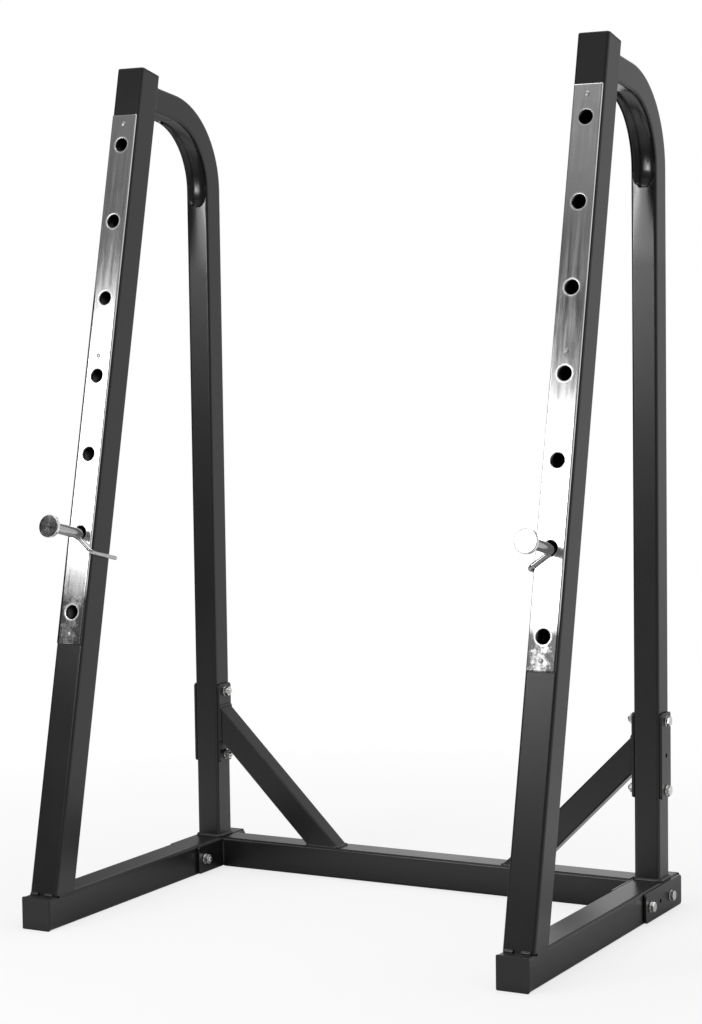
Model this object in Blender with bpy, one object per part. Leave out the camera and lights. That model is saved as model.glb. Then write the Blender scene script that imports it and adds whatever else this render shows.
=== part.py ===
"""A squat rack of square steel tube with bent rear posts and two movable bar pins.

Metres. +X is to the right seen from the front, +Y is to the rear and +Z is up.
The origin is on the floor, in the middle of the rack's width and depth.
"""
import math

import bmesh
import bpy
from mathutils import Matrix, Vector

# Overall sizes
SIDE_SPACING = 0.960          # between the middle planes of the two side frames
OVERALL_HEIGHT = 1.600        # floor to the front edge of the upright's top cap
TOUCH_GAP = 0.0003            # left between faces that touch
LEAN = math.radians(12.7)     # how far the front uprights lean back

# Square tubes
MAIN_TUBE = 0.060
MAIN_WALL = 0.0025
MAIN_CORNER = 0.006
REAR_TUBE = 0.050
REAR_WALL = 0.0025
REAR_CORNER = 0.005
BRACE_HEIGHT = 0.050
BRACE_DEPTH = 0.040
BRACE_WALL = 0.0020
BRACE_CORNER = 0.004
BRACE_SLOPE = math.radians(45)

# Places along the base beams
BASE_LENGTH = 0.685
FOOT_SETBACK = 0.020          # beam's front end to the upright's front face
CROSS_SETBACK = 0.058         # beam's rear end to the crossmember's middle plane
REAR_SETBACK = 0.062          # beam's rear end to the rear post's middle plane

# Bend of the rear posts
BEND_RADIUS = 0.158           # on the tube's centre line
ARM_RISE = math.radians(8)    # how far the arm still climbs towards the upright
ARM_DROP = 0.058              # overall height to the arm's centre line at the upright
CRUSH_DEPTH = 0.009           # how far the bend presses the inner wall in
CRUSH_WIDTH = 0.034
CRUSH_SPREAD = 0.7            # share of the wall's width that has points to press in
CRUSH_RUNOUT = 0.032          # length over which the pressed wall comes back out

# Holes for the bar pins
HOLE_COUNT = 7
HOLE_PITCH = 0.150
HOLE_DIAMETER = 0.026
FIRST_HOLE = 0.1535           # below the top cap's front edge, along the slope
PIN_HOLE = 5                  # hole that holds the pin, counted from 0 at the top

# Hole plates
PLATE_WIDTH = 0.054
PLATE_THICKNESS = 0.004
PLATE_END = 0.060             # beyond the first and the last hole
PLATE_CORNER = 0.002
RIVET_DIAMETER = 0.005
RIVET_HEAD_DIAMETER = 0.009
RIVET_HEAD_HEIGHT = 0.0018
RIVET_END = 0.019             # plate's end to the nearest rivet
RIVET_ABOVE_MIDDLE = 0.0385   # middle rivet above the middle hole
RIVET_TAIL = 0.004
RIVET_SHOULDER = (0.86, 0.6)  # shares of the head's radius and of its height
RIVET_CROWN = 0.45            # share of the head's radius at its top

# Bracket plates
BRACKET_THICKNESS = 0.005
BRACKET_CORNER = 0.006
BRACKET_CORNER_STEPS = 1
UPPER_HEIGHT = 0.294          # floor to the middle of the upper brackets
UPPER_LENGTH = 0.160
UPPER_WIDTH = 0.046
UPPER_BOLT_END = 0.015        # plate's end to the nearest bolt
BASE_PLATE_LENGTH = 0.180
BASE_PLATE_HEIGHT = 0.056
BASE_BOLT_END = 0.022         # plate's front end to the front bolt
LOCATING_HOLE = 0.008

# Bolts and nuts
BOLT_DIAMETER = 0.010
BOLT_HOLE_CLEARANCE = 0.0004
HEX_ACROSS_FLATS = 0.017
HEAD_HEIGHT = 0.0065
NUT_HEIGHT = 0.0084
WASHER_DIAMETER = 0.020
WASHER_THICKNESS = 0.002
BOLT_TIP = 0.004              # past the nut
BOLT_CHAMFER = 0.001
HEX_CHAMFER = 0.0012
HEX_CROWN = 0.0153            # across the flats' chamfered end

# Plastic caps
CAP_FLANGE = 0.004
CAP_PLUG = 0.018
CAP_WALL = 0.003
CAP_EDGE = 0.0015
CAP_HOLLOW_CORNER = 0.0018

# Bar pins, which rest on the bottoms of their holes
PIN_DIAMETER = 0.020
PIN_REACH = 0.106             # tube's front face to the end disc's outer face
PIN_TAIL = 0.010              # past the tube's rear face
PIN_CHAMFER = 0.002
DISC_DIAMETER = 0.0425
DISC_THICKNESS = 0.008
DISC_EDGE = 0.001

# Locking rods
ROD_DIAMETER = 0.008
ROD_DROP = 0.0345             # pin's axis down to the rod's arm
ROD_SLOPE = math.radians(38.5)
ROD_BEND = 0.010
ROD_TAIL = 0.011              # past the tube's rear face

# Faces on round shapes
SHARP_ANGLE = math.radians(35)
HOLE_SEGMENTS = 16
BOLT_SEGMENTS = 12
PIN_SEGMENTS = 24
ROD_SEGMENTS = 12
ROD_BEND_STEPS = 5
CORNER_STEPS = 2
BEND_STEPS = 10
RAMP_STEPS = 3
CRUSH_COLUMNS = 3

# Heights and depths that follow from the sizes above
BASE_FRONT = -BASE_LENGTH / 2
BASE_REAR = BASE_LENGTH / 2
BASE_TOP = MAIN_TUBE
FOOT_Y = BASE_FRONT + FOOT_SETBACK
TOP_Y = FOOT_Y + (OVERALL_HEIGHT - BASE_TOP) * math.tan(LEAN)
CROSS_Y = BASE_REAR - CROSS_SETBACK
REAR_Y = BASE_REAR - REAR_SETBACK
INNER_PLATE_OUTSIDE = MAIN_TUBE / 2 + TOUCH_GAP
CROSS_HALF = SIDE_SPACING / 2 - INNER_PLATE_OUTSIDE - BRACKET_THICKNESS - TOUCH_GAP
PLATE_TOP = FIRST_HOLE - PLATE_END
PLATE_LENGTH = (HOLE_COUNT - 1) * HOLE_PITCH + 2 * PLATE_END
PLATE_FACE = TOUCH_GAP + PLATE_THICKNESS
HOLE_FLAT_RADIUS = HOLE_DIAMETER / 2 * math.cos(math.pi / HOLE_SEGMENTS)
PIN_SAG = HOLE_FLAT_RADIUS - PIN_DIAMETER / 2 - TOUCH_GAP
ROD_LEVEL = PLATE_FACE + TOUCH_GAP + ROD_DIAMETER / 2

# Colours, as red, green and blue, with roughness and metallic
BLACK_COAT = ("black_coat", (0.030, 0.030, 0.031), 0.42, 0.0)
CHROME = ("chrome", (0.62, 0.63, 0.64), 0.14, 1.0)
ZINC = ("zinc", (0.58, 0.59, 0.60), 0.30, 1.0)
BLACK_PLASTIC = ("black_plastic", (0.018, 0.018, 0.019), 0.50, 0.0)

SIDES = (("left", -1), ("right", 1))


def clear_scene():
    for obj in list(bpy.data.objects):
        bpy.data.objects.remove(obj, do_unlink=True)


def make_material(name, finish):
    """Principled material of one sub-part."""
    _, colour, roughness, metallic = finish
    material = bpy.data.materials.new(name)
    material.use_nodes = True
    shader = material.node_tree.nodes["Principled BSDF"]
    shader.inputs["Base Color"].default_value = (*colour, 1.0)
    shader.inputs["Roughness"].default_value = roughness
    shader.inputs["Metallic"].default_value = metallic
    return material


def add_empty(name, location=(0, 0, 0), rotation=(0, 0, 0), parent=None):
    empty = bpy.data.objects.new(name, None)
    empty.location = location
    empty.rotation_euler = rotation
    empty.parent = parent
    bpy.context.scene.collection.objects.link(empty)
    return empty


def add_part(name, mesh, finish, location=(0, 0, 0), rotation=(0, 0, 0), parent=None):
    """Object with its own material; a mesh that is used twice is copied first."""
    if mesh.users:
        mesh = mesh.copy()
    mesh.name = name
    mesh.materials.clear()
    mesh.materials.append(make_material(name + "_" + finish[0], finish))
    obj = bpy.data.objects.new(name, mesh)
    obj.location = location
    obj.rotation_euler = rotation
    obj.parent = parent
    bpy.context.scene.collection.objects.link(obj)
    return obj


def add_cutter(name, mesh, parent=None, location=(0, 0, 0), rotation=(0, 0, 0)):
    cutter = bpy.data.objects.new(name, mesh)
    cutter.location = location
    cutter.rotation_euler = rotation
    cutter.parent = parent
    cutter.hide_render = True
    cutter.display_type = "WIRE"
    bpy.context.scene.collection.objects.link(cutter)
    return cutter


def combine(obj, other, operation):
    modifier = obj.modifiers.new(operation.lower() + "_" + other.name, "BOOLEAN")
    modifier.operation = operation
    modifier.solver = "EXACT"
    modifier.object = other


def rounded_section(width, depth, corner, steps=CORNER_STEPS):
    """Outline of a rounded rectangle, counter-clockwise, as pairs about its middle."""
    points = []
    for quadrant, (sign_a, sign_b) in enumerate(((1, 1), (-1, 1), (-1, -1), (1, -1))):
        centre_a = sign_a * (width / 2 - corner)
        centre_b = sign_b * (depth / 2 - corner)
        for step in range(steps + 1):
            angle = math.pi / 2 * (quadrant + step / steps)
            points.append((centre_a + corner * math.cos(angle), centre_b + corner * math.sin(angle)))
    return points


def circle(radius, segments, middle=(0, 0)):
    """Outline of a circle, counter-clockwise."""
    turns = [2 * math.pi * step / segments for step in range(segments)]
    return [(middle[0] + radius * math.cos(a), middle[1] + radius * math.sin(a)) for a in turns]


def hexagon(across_flats, segments=BOLT_SEGMENTS):
    """Outline of a hexagon with the same number of points as the round parts of a bolt."""
    points = []
    for step in range(segments):
        angle = 2 * math.pi * step / segments
        from_flat = (angle % (math.pi / 3)) - math.pi / 6
        radius = across_flats / 2 / math.cos(from_flat)
        points.append((radius * math.cos(angle), radius * math.sin(angle)))
    return points


def loft(name, rings, closed=False, smooth=True):
    """Mesh through rings of equal count; closed joins the last ring to the first."""
    bm = bmesh.new()
    loops = [[bm.verts.new(point) for point in ring] for ring in rings]
    count = len(loops[0])
    pairs = list(zip(loops, loops[1:] + loops[:1])) if closed else list(zip(loops, loops[1:]))
    for low, high in pairs:
        for here in range(count):
            after = (here + 1) % count
            bm.faces.new((low[here], low[after], high[after], high[here]))
    if not closed:
        bm.faces.new(list(reversed(loops[0])))
        bm.faces.new(loops[-1])
    return finish_mesh(name, bm, smooth)


def finish_mesh(name, bm, smooth=True):
    bmesh.ops.recalc_face_normals(bm, faces=bm.faces)
    mesh = bpy.data.meshes.new(name)
    bm.to_mesh(mesh)
    bm.free()
    if smooth:
        mesh.shade_smooth()
        mesh.set_sharp_from_angle(angle=SHARP_ANGLE)
    return mesh


def shape_stack(name, layers):
    """Solid through flat outlines, each given as (outline, height)."""
    return loft(name, [[(a, b, height) for a, b in outline] for outline, height in layers])


def turned(name, profile, segments):
    """Solid of revolution about local Z from (radius, height) pairs."""
    return shape_stack(name, [(circle(radius, segments), height) for radius, height in profile])


def cylinders(name, places, radius, length, axis, segments):
    """Separate cylinders of one size, centred on places and lying along a local axis."""
    bm = bmesh.new()
    turn = Vector((0, 0, 1)).rotation_difference(Vector(axis)).to_matrix().to_4x4()
    for place in places:
        bmesh.ops.create_cone(
            bm, cap_ends=True, segments=segments, radius1=radius, radius2=radius,
            depth=length, matrix=Matrix.Translation(place) @ turn)
    return finish_mesh(name, bm)


def straight_tube(name, width, depth, corner, wall, first, last):
    """Open tube; first and last place a section point (a, b) on the tube's two ends."""
    outer = rounded_section(width, depth, corner)
    inner = rounded_section(width - 2 * wall, depth - 2 * wall, corner - wall)
    rings = [[first(a, b) for a, b in outer], [last(a, b) for a, b in outer]]
    rings += [[last(a, b) for a, b in inner], [first(a, b) for a, b in inner]]
    return loft(name, rings, closed=True)


def hole_drop(index):
    """Distance from the upright's top down the slope to a pin hole."""
    return FIRST_HOLE + index * HOLE_PITCH


def rivet_drops():
    middle_hole = hole_drop(HOLE_COUNT // 2)
    return (PLATE_TOP + RIVET_END, middle_hole - RIVET_ABOVE_MIDDLE, PLATE_TOP + PLATE_LENGTH - RIVET_END)


def base_bolt_places():
    """Depths of the base bolts: near the plate's front end and on the crossmember's middle plane."""
    return (BASE_REAR - BASE_PLATE_LENGTH + BASE_BOLT_END, CROSS_Y)


def upper_bolt_heights():
    from_middle = UPPER_LENGTH / 2 - UPPER_BOLT_END
    return (UPPER_HEIGHT - from_middle, UPPER_HEIGHT + from_middle)


def build_base_beam(name, side_frame):
    """Main tube along the floor, with through holes for the bracket bolts."""
    def front(a, b):
        return (a, BASE_FRONT, BASE_TOP / 2 + b)

    def rear(a, b):
        return (a, BASE_REAR, BASE_TOP / 2 + b)

    mesh = straight_tube(name, MAIN_TUBE, MAIN_TUBE, MAIN_CORNER, MAIN_WALL, front, rear)
    beam = add_part(name, mesh, BLACK_COAT, parent=side_frame)
    places = [(0, y, BASE_TOP / 2) for y in base_bolt_places()]
    holes = cylinders(
        name + "_bolt_holes", places, BOLT_DIAMETER / 2 + BOLT_HOLE_CLEARANCE,
        2 * MAIN_TUBE, (1, 0, 0), BOLT_SEGMENTS)
    combine(beam, add_cutter(name + "_bolt_holes", holes, side_frame), "DIFFERENCE")


def build_front_upright(name, lean_frame):
    """Leaning tube: square cut at its top, cut level on the beam, drilled for the pins."""
    middle = MAIN_TUBE / 2
    foot = BASE_TOP + TOUCH_GAP

    def top(a, b):
        return (a, middle + b, -CAP_FLANGE - TOUCH_GAP)

    def bottom(a, b):
        behind = middle + b
        down = (OVERALL_HEIGHT - foot - behind * math.sin(LEAN)) / math.cos(LEAN)
        return (a, behind, -down)

    mesh = straight_tube(name, MAIN_TUBE, MAIN_TUBE, MAIN_CORNER, MAIN_WALL, bottom, top)
    upright = add_part(name, mesh, BLACK_COAT, parent=lean_frame)
    places = [(0, middle, -hole_drop(index)) for index in range(HOLE_COUNT)]
    holes = cylinders(
        name + "_pin_holes", places, HOLE_DIAMETER / 2, 2 * MAIN_TUBE, (0, 1, 0), HOLE_SEGMENTS)
    combine(upright, add_cutter(name + "_pin_holes", holes, lean_frame), "DIFFERENCE")
    places = [(0, 0, -drop) for drop in rivet_drops()]
    holes = cylinders(
        name + "_rivet_holes", places, RIVET_DIAMETER / 2 + TOUCH_GAP, MAIN_TUBE / 2,
        (0, 1, 0), BOLT_SEGMENTS)
    combine(upright, add_cutter(name + "_rivet_holes", holes, lean_frame), "DIFFERENCE")


def build_hole_plate(name, lean_frame):
    """Polished wear plate on the upright's front face."""
    outline = rounded_section(PLATE_WIDTH, PLATE_LENGTH, PLATE_CORNER)
    mesh = shape_stack(name, [(outline, 0), (outline, PLATE_THICKNESS)])
    plate = add_part(
        name, mesh, CHROME, parent=lean_frame, rotation=(math.pi / 2, 0, 0),
        location=(0, -TOUCH_GAP, -PLATE_TOP - PLATE_LENGTH / 2))
    places = [(0, 0, -hole_drop(index)) for index in range(HOLE_COUNT)]
    holes = cylinders(
        name + "_pin_holes", places, HOLE_DIAMETER / 2, MAIN_TUBE, (0, 1, 0), HOLE_SEGMENTS)
    combine(plate, add_cutter(name + "_pin_holes", holes, lean_frame), "DIFFERENCE")
    places = [(0, 0, -drop) for drop in rivet_drops()]
    holes = cylinders(
        name + "_rivet_holes", places, RIVET_DIAMETER / 2 + TOUCH_GAP, MAIN_TUBE,
        (0, 1, 0), BOLT_SEGMENTS)
    combine(plate, add_cutter(name + "_rivet_holes", holes, lean_frame), "DIFFERENCE")


def build_rivets(side, lean_frame):
    """Round-headed rivets that hold the plate on the upright's front wall."""
    radius = RIVET_DIAMETER / 2
    head = RIVET_HEAD_DIAMETER / 2
    seat = PLATE_FACE + TOUCH_GAP
    profile = (
        (radius, -MAIN_WALL - RIVET_TAIL),
        (radius, seat),
        (head, seat),
        (head * RIVET_SHOULDER[0], seat + RIVET_HEAD_HEIGHT * RIVET_SHOULDER[1]),
        (head * RIVET_CROWN, seat + RIVET_HEAD_HEIGHT))
    for label, drop in zip(("upper", "middle", "lower"), rivet_drops()):
        name = f"{side}_{label}_plate_rivet"
        mesh = turned(name, profile, BOLT_SEGMENTS)
        add_part(
            name, mesh, ZINC, parent=lean_frame, location=(0, 0, -drop),
            rotation=(math.pi / 2, 0, 0))


def bend_path():
    """Centre line of the rear post's bend: (y, z, angle turned, crush) stations."""
    turned_angle = math.pi / 2 - ARM_RISE
    rise = OVERALL_HEIGHT - ARM_DROP
    face_y = TOP_Y - ARM_DROP * math.tan(LEAN) + MAIN_TUBE / math.cos(LEAN)
    centre_y = REAR_Y - BEND_RADIUS
    end_y = centre_y + BEND_RADIUS * math.cos(turned_angle)
    arm = (end_y - face_y) / math.cos(ARM_RISE)
    end_z = rise - arm * math.sin(ARM_RISE)
    centre_z = end_z - BEND_RADIUS * math.sin(turned_angle)
    stations = [(REAR_Y, BASE_TOP + TOUCH_GAP, 0.0, 0.0)]
    for step in range(RAMP_STEPS):
        share = step / RAMP_STEPS
        z = centre_z - CRUSH_RUNOUT * (1 - share)
        stations.append((REAR_Y, z, 0.0, math.sin(share * math.pi / 2)))
    for step in range(BEND_STEPS + 1):
        angle = turned_angle * step / BEND_STEPS
        y = centre_y + BEND_RADIUS * math.cos(angle)
        z = centre_z + BEND_RADIUS * math.sin(angle)
        stations.append((y, z, angle, 1.0))
    for step in range(1, RAMP_STEPS + 1):
        share = step / RAMP_STEPS
        y = end_y - CRUSH_RUNOUT * share * math.cos(ARM_RISE)
        z = end_z + CRUSH_RUNOUT * share * math.sin(ARM_RISE)
        stations.append((y, z, turned_angle, math.cos(share * math.pi / 2)))
    return stations


def crushed_section(size, corner):
    """Square outline whose side towards the bend's centre has extra points to press in."""
    outline = rounded_section(size, size, corner)
    per_corner = CORNER_STEPS + 1
    split = 3 * per_corner
    shares = [index / (CRUSH_COLUMNS + 1) - 0.5 for index in range(1, CRUSH_COLUMNS + 1)]
    extra = [(size * share * CRUSH_SPREAD, -size / 2) for share in shares]
    return outline[:split] + extra + outline[split:]


def pressed(a, b, size, crush):
    """Depth of a section point after the inner wall is pressed in."""
    if b > -size / 2 + TOUCH_GAP:
        return b
    share = max(0.0, 1 - (2 * a / CRUSH_WIDTH) ** 2)
    return b + CRUSH_DEPTH * crush * share


def build_rear_post(name, side_frame):
    """Post from the beam up through a pressed bend to the upright's rear face."""
    stations = bend_path()

    def ring(station, size, corner):
        y, z, angle, crush = station
        points = []
        for a, b in crushed_section(size, corner):
            outward = pressed(a, b, size, crush)
            points.append((a, y + outward * math.cos(angle), z + outward * math.sin(angle)))
        return points

    def end_ring(station, size, corner):
        """Section carried on along the arm to the plane of the upright's rear face."""
        along = Vector((0, -math.cos(ARM_RISE), math.sin(ARM_RISE)))
        normal = Vector((0, -math.cos(LEAN), math.sin(LEAN)))
        on_face = Vector((0, TOP_Y, OVERALL_HEIGHT)) - normal * (MAIN_TUBE + TOUCH_GAP)
        y, z, angle, _ = station
        points = []
        for point in ring((y, z, angle, 0.0), size, corner):
            start = Vector(point)
            reach = (on_face - start).dot(normal) / along.dot(normal)
            points.append(start + along * reach)
        return points

    inner_size = REAR_TUBE - 2 * REAR_WALL
    inner_corner = REAR_CORNER - REAR_WALL
    outer = [ring(station, REAR_TUBE, REAR_CORNER) for station in stations]
    outer.append(end_ring(stations[-1], REAR_TUBE, REAR_CORNER))
    inner = [ring(station, inner_size, inner_corner) for station in stations]
    inner.append(end_ring(stations[-1], inner_size, inner_corner))
    mesh = loft(name, outer + list(reversed(inner)), closed=True)
    post = add_part(name, mesh, BLACK_COAT, parent=side_frame)
    places = [(0, REAR_Y, height) for height in upper_bolt_heights()]
    holes = cylinders(
        name + "_bolt_holes", places, BOLT_DIAMETER / 2 + BOLT_HOLE_CLEARANCE,
        2 * MAIN_TUBE, (1, 0, 0), BOLT_SEGMENTS)
    combine(post, add_cutter(name + "_bolt_holes", holes, side_frame), "DIFFERENCE")


def build_bracket_plate(name, side_frame, inward, half_tube, length, width, middle, bolts, extra, upright):
    """Flat plate on one side of a tube; inward is -1 or 1, upright plates stand on end."""
    size = (width, length) if upright else (length, width)
    outline = rounded_section(*size, BRACKET_CORNER, BRACKET_CORNER_STEPS)
    mesh = shape_stack(name, [(outline, 0), (outline, BRACKET_THICKNESS)])
    offset = half_tube + TOUCH_GAP
    turn = Matrix(((0, 0, inward), (inward, 0, 0), (0, 1, 0)))
    plate = add_part(
        name, mesh, BLACK_COAT, parent=side_frame, location=(inward * offset, *middle),
        rotation=turn.to_euler())
    holes = cylinders(
        name + "_bolt_holes", [(0, y, z) for y, z in bolts],
        BOLT_DIAMETER / 2 + BOLT_HOLE_CLEARANCE, 2 * MAIN_TUBE, (1, 0, 0), BOLT_SEGMENTS)
    combine(plate, add_cutter(name + "_bolt_holes", holes, side_frame), "DIFFERENCE")
    if extra:
        holes = cylinders(
            name + "_locating_hole", [(0, *extra)], LOCATING_HOLE / 2, 2 * MAIN_TUBE,
            (1, 0, 0), BOLT_SEGMENTS)
        combine(plate, add_cutter(name + "_locating_hole", holes, side_frame), "DIFFERENCE")


def build_brackets(side, sign, side_frame):
    """Inner and outer plates on the rear post and on the base beam."""
    upper_bolts = [(REAR_Y, height) for height in upper_bolt_heights()]
    base_bolts = [(y, BASE_TOP / 2) for y in base_bolt_places()]
    base_middle = BASE_REAR - BASE_PLATE_LENGTH / 2
    for label, inward in (("inner", -sign), ("outer", sign)):
        outside = label == "outer"
        build_bracket_plate(
            f"{side}_upper_{label}_plate", side_frame, inward, REAR_TUBE / 2,
            UPPER_LENGTH, UPPER_WIDTH, (REAR_Y, UPPER_HEIGHT), upper_bolts,
            (REAR_Y, UPPER_HEIGHT) if outside else None, True)
        build_bracket_plate(
            f"{side}_base_{label}_plate", side_frame, inward, MAIN_TUBE / 2,
            BASE_PLATE_LENGTH, BASE_PLATE_HEIGHT, (base_middle, BASE_TOP / 2), base_bolts,
            (sum(base_bolt_places()) / 2, BASE_TOP / 2) if outside else None, False)


def hex_layers(low, height):
    """Hexagon with its far edge chamfered."""
    full = hexagon(HEX_ACROSS_FLATS)
    return [(full, low), (full, low + height - HEX_CHAMFER), (hexagon(HEX_CROWN), low + height)]


def bolt_mesh(name, grip):
    """Hexagon bolt with its washer; local Z leaves the head, 0 is the washer's seat."""
    shank = circle(BOLT_DIAMETER / 2, BOLT_SEGMENTS)
    washer = circle(WASHER_DIAMETER / 2, BOLT_SEGMENTS)
    end = -(grip + WASHER_THICKNESS + NUT_HEIGHT + BOLT_TIP)
    tip = circle(BOLT_DIAMETER / 2 - BOLT_CHAMFER, BOLT_SEGMENTS)
    layers = [(tip, end), (shank, end + BOLT_CHAMFER), (shank, 0), (washer, 0)]
    layers += [(washer, WASHER_THICKNESS)] + hex_layers(WASHER_THICKNESS, HEAD_HEIGHT)
    return shape_stack(name, layers)


def nut_mesh(name):
    """Hexagon nut with its washer; local Z leaves the plate."""
    washer = circle(WASHER_DIAMETER / 2, BOLT_SEGMENTS)
    bore = circle(BOLT_DIAMETER / 2 + BOLT_HOLE_CLEARANCE, BOLT_SEGMENTS)
    layers = [(washer, 0), (washer, WASHER_THICKNESS)] + hex_layers(WASHER_THICKNESS, NUT_HEIGHT)
    layers += [(bore, WASHER_THICKNESS + NUT_HEIGHT), (bore, 0)]
    return loft(name, [[(a, b, height) for a, b in outline] for outline, height in layers], closed=True)


def build_fasteners(side, sign, side_frame):
    """Bolts with their heads outside the rack and nuts inside it."""
    upper = [(REAR_Y, height) for height in reversed(upper_bolt_heights())]
    base = [(y, BASE_TOP / 2) for y in base_bolt_places()]
    sets = (
        ("upper_bracket", REAR_TUBE / 2, zip(("top", "bottom"), upper)),
        ("base_bracket", MAIN_TUBE / 2, zip(("front", "rear"), base)))
    for bracket, half_tube, places in sets:
        face = half_tube + TOUCH_GAP + BRACKET_THICKNESS + TOUCH_GAP
        for label, (y, z) in places:
            name = f"{side}_{bracket}_{label}"
            add_part(
                name + "_bolt", bolt_mesh(name, 2 * face), ZINC, parent=side_frame,
                location=(sign * face, y, z), rotation=(0, sign * math.pi / 2, 0))
            add_part(
                name + "_nut", nut_mesh(name), ZINC, parent=side_frame,
                location=(-sign * face, y, z), rotation=(0, -sign * math.pi / 2, 0))


def build_crossmember():
    """Main tube between the two inner base plates."""
    def left(a, b):
        return (-CROSS_HALF, CROSS_Y + a, BASE_TOP / 2 + b)

    def right(a, b):
        return (CROSS_HALF, CROSS_Y + a, BASE_TOP / 2 + b)

    mesh = straight_tube("crossmember", MAIN_TUBE, MAIN_TUBE, MAIN_CORNER, MAIN_WALL, left, right)
    add_part("crossmember", mesh, BLACK_COAT)


def build_brace(name, sign, side_frame):
    """Slanting tube from the upper inner plate down to the crossmember's top."""
    plate_face = REAR_TUBE / 2 + TOUCH_GAP + BRACKET_THICKNESS + TOUCH_GAP
    floor_face = BASE_TOP + TOUCH_GAP
    down = Vector((-math.cos(BRACE_SLOPE), 0, -math.sin(BRACE_SLOPE)))
    across = Vector((-math.sin(BRACE_SLOPE), 0, math.cos(BRACE_SLOPE)))
    start = Vector((-plate_face, REAR_Y, UPPER_HEIGHT))

    def section_point(a, b):
        return start + across * a + Vector((0, b, 0))

    def on_plate(a, b):
        point = section_point(a, b)
        reach = (-plate_face - point.x) / down.x
        return mirrored(point + down * reach)

    def on_crossmember(a, b):
        point = section_point(a, b)
        reach = (floor_face - point.z) / down.z
        return mirrored(point + down * reach)

    def mirrored(point):
        return (point.x * sign, point.y, point.z)

    mesh = straight_tube(name, BRACE_HEIGHT, BRACE_DEPTH, BRACE_CORNER, BRACE_WALL, on_plate, on_crossmember)
    add_part(name, mesh, BLACK_COAT, parent=side_frame)


def cap_mesh(name):
    """Plastic cap: a flange over the tube's end and a hollow plug inside it."""
    inside = MAIN_TUBE - 2 * MAIN_WALL - 2 * TOUCH_GAP
    plug_corner = MAIN_CORNER - MAIN_WALL
    plug = rounded_section(inside, inside, plug_corner)
    hollow_size = inside - 2 * CAP_WALL
    hollow = rounded_section(hollow_size, hollow_size, CAP_HOLLOW_CORNER)
    flange = rounded_section(MAIN_TUBE, MAIN_TUBE, MAIN_CORNER)
    front_size = MAIN_TUBE - 2 * CAP_EDGE
    front = rounded_section(front_size, front_size, MAIN_CORNER - CAP_EDGE)
    layers = [(hollow, -TOUCH_GAP), (hollow, -CAP_PLUG), (plug, -CAP_PLUG), (plug, 0), (flange, 0)]
    layers += [(flange, CAP_FLANGE - CAP_EDGE), (front, CAP_FLANGE)]
    return shape_stack(name, layers)


def build_caps(side, side_frame, lean_frame):
    """Caps in the beam's two ends and in the upright's top."""
    quarter = math.pi / 2
    front = (0, BASE_FRONT - TOUCH_GAP, BASE_TOP / 2)
    rear = (0, BASE_REAR + TOUCH_GAP, BASE_TOP / 2)
    top = (0, MAIN_TUBE / 2, -CAP_FLANGE)
    places = (
        ("base_front_cap", side_frame, front, (quarter, 0, 0)),
        ("base_rear_cap", side_frame, rear, (-quarter, 0, 0)),
        ("upright_top_cap", lean_frame, top, (0, 0, 0)))
    for label, parent, location, rotation in places:
        name = f"{side}_{label}"
        add_part(name, cap_mesh(name), BLACK_PLASTIC, location, rotation, parent)


def build_bar_pin(side, pin_frame):
    """Round bar with its end disc; local Z points out of the upright's front face."""
    radius = PIN_DIAMETER / 2
    tail = -MAIN_TUBE - PIN_TAIL
    disc_back = PIN_REACH - DISC_THICKNESS
    bar_end = disc_back - TOUCH_GAP
    profile = ((radius - PIN_CHAMFER, tail), (radius, tail + PIN_CHAMFER), (radius, bar_end))
    name = f"{side}_bar_pin"
    add_part(name, turned(name, profile, PIN_SEGMENTS), CHROME, parent=pin_frame)
    rim = DISC_DIAMETER / 2
    profile = (
        (rim - DISC_EDGE, disc_back),
        (rim, disc_back + DISC_EDGE),
        (rim, PIN_REACH - DISC_EDGE),
        (rim - DISC_EDGE, PIN_REACH))
    name = f"{side}_pin_end_disc"
    add_part(name, turned(name, profile, PIN_SEGMENTS), CHROME, parent=pin_frame)


def rod_path(inward):
    """Rod's centre line as (point, heading): down from the pin, then back beside the upright."""
    beside = MAIN_TUBE / 2 + TOUCH_GAP + ROD_DIAMETER / 2
    corner = Vector((inward * beside, -ROD_DROP, ROD_LEVEL))
    into = Vector((inward * math.cos(ROD_SLOPE), -math.sin(ROD_SLOPE), 0))
    back = Vector((0, 0, -1))
    path = [(corner - into * corner.dot(into), into)]
    bend_centre = corner - into * ROD_BEND + back * ROD_BEND
    for step in range(ROD_BEND_STEPS + 1):
        angle = math.pi / 2 * step / ROD_BEND_STEPS
        point = bend_centre + (into * math.sin(angle) - back * math.cos(angle)) * ROD_BEND
        path.append((point, into * math.cos(angle) + back * math.sin(angle)))
    path.append((Vector((corner.x, corner.y, -MAIN_TUBE - ROD_TAIL)), back))
    return path


def build_locking_rod(side, sign, pin_frame):
    """Bent rod against the pin's underside, its arm along the upright's inner side."""
    name = f"{side}_locking_rod"
    path = rod_path(-sign)
    level = path[0][1].cross(path[-1][1])
    outline = circle(ROD_DIAMETER / 2, ROD_SEGMENTS)
    rings = []
    for point, heading in path:
        across = heading.cross(level)
        rings.append([point + level * a + across * b for a, b in outline])
    rod = add_part(name, loft(name, rings), CHROME, parent=pin_frame)
    seat = cylinders(
        name + "_seat", [(0, 0, 0)], PIN_DIAMETER / 2 + TOUCH_GAP, 2 * MAIN_TUBE, (0, 0, 1),
        PIN_SEGMENTS)
    combine(rod, add_cutter(name + "_seat", seat, pin_frame), "DIFFERENCE")


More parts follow.
